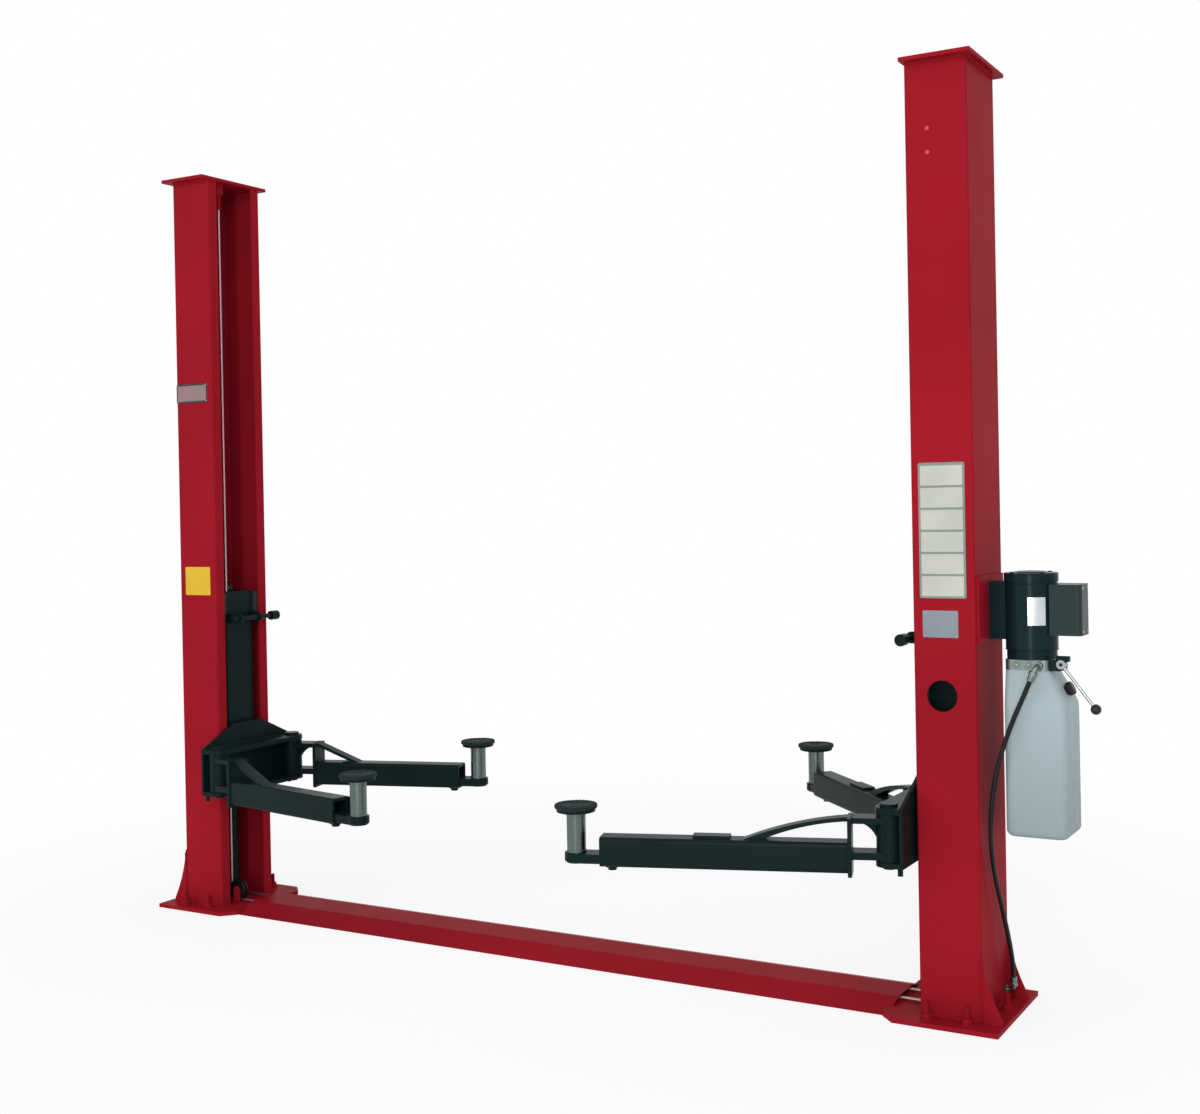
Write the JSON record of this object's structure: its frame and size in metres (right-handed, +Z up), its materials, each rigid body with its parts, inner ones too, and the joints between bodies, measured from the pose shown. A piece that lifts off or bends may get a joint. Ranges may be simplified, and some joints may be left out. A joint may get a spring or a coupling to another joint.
{
  "type": "two post car lift",
  "caption": "Floor-plate two post car lift with telescopic swing arms, round pads and a side power unit.",
  "frame": {"origin": "on the floor, at the middle of the tie plate between the two columns", "axes": "+X from one column to the column with the power unit, +Y along the car, +Z up"},
  "size_m": [3.575, 1.4744, 2.824],
  "materials": {
    "red_paint": "semi-gloss red enamel",
    "green_paint": "dark green-black enamel, satin",
    "steel": "zinc plated, satin",
    "cable_steel": "galvanized wire rope",
    "black_metal": "black enamel",
    "cast_aluminium": "as cast",
    "tank_plastic": "translucent polyethylene",
    "black_plastic": "moulded",
    "nylon": "machined nylon",
    "pad_rubber": "moulded rubber",
    "hose_rubber": "smooth hose cover"
  },
  "bodies": {
    "root": {"anchor_bolts": "red_paint", "base_plates": "red_paint", "base_pulleys": "steel", "cable_terminals": "cable_steel", "capacitor_box": "black_metal", "column_left": "red_paint", "column_right": "red_paint", "cylinder_barrels": "green_paint", "equalizer_cables": "cable_steel", "filler_cap": "black_plastic", "floor_cover": "red_paint", "hose_fittings": "steel", "hydraulic_hose": "hose_rubber", "motor": "black_metal", "oil_tank": "tank_plastic", "pulley_brackets": "steel", "pump_manifold": "cast_aluminium", "release_valve": "black_metal", "tie_plate": "red_paint", "top_plates": "red_paint", "unit_bracket": "black_metal", "unit_plate": "red_paint"},
    "extension_left_front": {"arm_inner_left_front": "green_paint"},
    "extension_left_rear": {"arm_inner_left_rear": "green_paint"},
    "extension_right_front": {"arm_inner_right_front": "green_paint"},
    "extension_right_rear": {"arm_inner_right_rear": "green_paint"},
    "arm_left_front": {"arm_outer_left_front": "green_paint"},
    "arm_left_rear": {"arm_outer_left_rear": "green_paint"},
    "arm_right_front": {"arm_outer_right_front": "green_paint"},
    "arm_right_rear": {"arm_outer_right_rear": "green_paint"},
    "carriage_left": {"carriage_left": "green_paint", "pivot_pins_left": "steel", "slide_blocks_left": "nylon"},
    "carriage_right": {"carriage_right": "green_paint", "pivot_pins_right": "steel", "slide_blocks_right": "nylon"},
    "rod_left": {"chain_wheel_left": "steel", "cylinder_rod_left": "steel"},
    "rod_right": {"chain_wheel_right": "steel", "cylinder_rod_right": "steel"},
    "lever": {"lever_ball": "black_plastic", "release_lever": "steel"},
    "pad_left_front": {"lifting_pad_left_front": "pad_rubber", "pad_post_left_front": "steel"},
    "pad_left_rear": {"lifting_pad_left_rear": "pad_rubber", "pad_post_left_rear": "steel"},
    "pad_right_front": {"lifting_pad_right_front": "pad_rubber", "pad_post_right_front": "steel"},
    "pad_right_rear": {"lifting_pad_right_rear": "pad_rubber", "pad_post_right_rear": "steel"},
    "knob_left": {"lock_knob_left": "black_metal"},
    "knob_right": {"lock_knob_right": "black_metal"}
  },
  "joints": [
    {"name": "lift_left", "type": "slide", "parent": "root", "child": "carriage_left", "axis": [0, 0, 1], "range_m": [-0.345, 1.25]},
    {"name": "lift_right", "type": "slide", "parent": "root", "child": "carriage_right", "axis": [0, 0, 1], "range_m": [-0.345, 1.25]},
    {"name": "rod_lift_left", "type": "slide", "parent": "root", "child": "rod_left", "axis": [0, 0, 1], "range_m": [-0.1725, 0.625]},
    {"name": "rod_lift_right", "type": "slide", "parent": "root", "child": "rod_right", "axis": [0, 0, 1], "range_m": [-0.1725, 0.625]},
    {"name": "swing_left_front", "type": "hinge", "parent": "carriage_left", "child": "arm_left_front", "pos_m": [-1.334, -0.2, 0.54], "axis": [0, 0, -1], "range_deg": [-10.6, 79.4]},
    {"name": "extend_left_front", "type": "slide", "parent": "arm_left_front", "child": "extension_left_front", "axis": [0.9829, -0.184, 0], "range_m": [-0.056, 0.28]},
    {"name": "turn_left_front", "type": "hinge", "parent": "extension_left_front", "child": "pad_left_front", "pos_m": [-0.53782, -0.349, 0.6], "axis": [0, 0, 1], "continuous": true},
    {"name": "swing_left_rear", "type": "hinge", "parent": "carriage_left", "child": "arm_left_rear", "pos_m": [-1.334, 0.2, 0.54], "axis": [0, 0, 1], "range_deg": [-16.5, 73.5]},
    {"name": "extend_left_rear", "type": "slide", "parent": "arm_left_rear", "child": "extension_left_rear", "axis": [0.9588, 0.284, 0], "range_m": [-0.032, 0.28]},
    {"name": "turn_left_rear", "type": "hinge", "parent": "extension_left_rear", "child": "pad_left_rear", "pos_m": [-0.58037, 0.42324, 0.6], "axis": [0, 0, 1], "continuous": true},
    {"name": "swing_right_front", "type": "hinge", "parent": "carriage_right", "child": "arm_right_front", "pos_m": [1.334, -0.2, 0.54], "axis": [0, 0, 1], "range_deg": [-18.3, 71.7]},
    {"name": "extend_right_front", "type": "slide", "parent": "arm_right_front", "child": "extension_right_front", "axis": [-0.9494, -0.314, 0], "range_m": [-0.043, 0.4]},
    {"name": "turn_right_front", "type": "hinge", "parent": "extension_right_front", "child": "pad_right_front", "pos_m": [0.43774, -0.49641, 0.6], "axis": [0, 0, 1], "continuous": true},
    {"name": "swing_right_rear", "type": "hinge", "parent": "carriage_right", "child": "arm_right_rear", "pos_m": [1.334, 0.2, 0.54], "axis": [0, 0, -1], "range_deg": [-44, 46]},
    {"name": "extend_right_rear", "type": "slide", "parent": "arm_right_rear", "child": "extension_right_rear", "axis": [-0.7193, 0.6947, 0], "range_m": [-0.029, 0.4]},
    {"name": "turn_right_rear", "type": "hinge", "parent": "extension_right_rear", "child": "pad_right_rear", "pos_m": [0.66501, 0.84603, 0.6], "axis": [0, 0, 1], "continuous": true},
    {"name": "lock_left", "type": "slide", "parent": "carriage_left", "child": "knob_left", "axis": [0, 1, 0], "range_m": [0, 0.02], "stiffness_N_per_m": 300},
    {"name": "lock_right", "type": "slide", "parent": "carriage_right", "child": "knob_right", "axis": [0, -1, 0], "range_m": [0, 0.02], "stiffness_N_per_m": 300},
    {"name": "lower", "type": "hinge", "parent": "root", "child": "lever", "pos_m": [1.812, -0.0685, 1.052], "axis": [0, 1, 0], "range_deg": [0, 25], "stiffness_Nm_per_rad": 0.5, "springref_deg": -22.92}
  ],
  "couplings": [
    {"joint": "lift_right", "follows": "lift_left", "ratio": 1},
    {"joint": "rod_lift_left", "follows": "lift_left", "ratio": 0.5},
    {"joint": "rod_lift_right", "follows": "lift_left", "ratio": 0.5}
  ]
}
